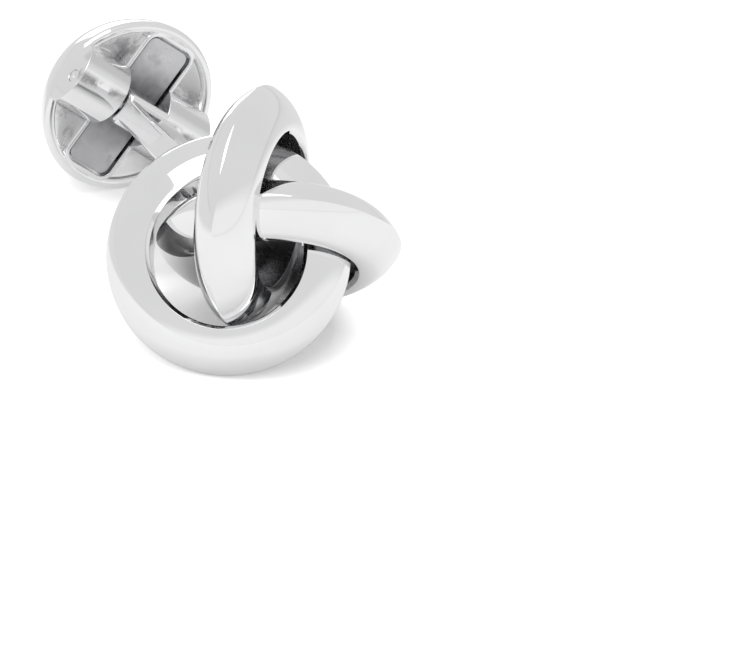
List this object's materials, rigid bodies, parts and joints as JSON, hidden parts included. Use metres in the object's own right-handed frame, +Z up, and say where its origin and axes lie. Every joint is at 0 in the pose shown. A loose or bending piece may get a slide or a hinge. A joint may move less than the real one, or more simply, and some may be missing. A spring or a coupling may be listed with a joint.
{
  "type": "knot cufflink",
  "caption": "Cufflink with a polished knot of threaded domed rings on a straight post and a round domed toggle that swivels on a pin against a leaf spring.",
  "frame": {"origin": "bottom centre of the part's box as it lies at rest on the knot and the toggle", "axes": "+Z up, -Y towards the knot, +Y towards the toggle; the post runs within 4 degrees of Y"},
  "size_m": [0.0166, 0.0284, 0.0157],
  "materials": {
    "ring_upper": "mirror polished silver plate",
    "ring_right": "mirror polished silver plate",
    "ring_left": "mirror polished silver plate",
    "post": "mirror polished silver plate",
    "toggle_button": "mirror polished silver plate",
    "leaf_spring": "satin spring steel",
    "hinge_pin": "turned steel pin"
  },
  "bodies": {
    "knot": {"ring_upper": "ring_upper", "ring_right": "ring_right", "ring_left": "ring_left", "post": "post"},
    "toggle": {"toggle_button": "toggle_button", "leaf_spring": "leaf_spring", "hinge_pin": "hinge_pin"}
  },
  "joints": [
    {"name": "toggle_turn", "type": "hinge", "parent": "knot", "child": "toggle", "pos_m": [-0.00018, 0.00846, 0.00551], "axis": [0.7863, -0.0424, -0.6164], "range_deg": [-90, 90], "deforming": ["leaf_spring"]}
  ]
}
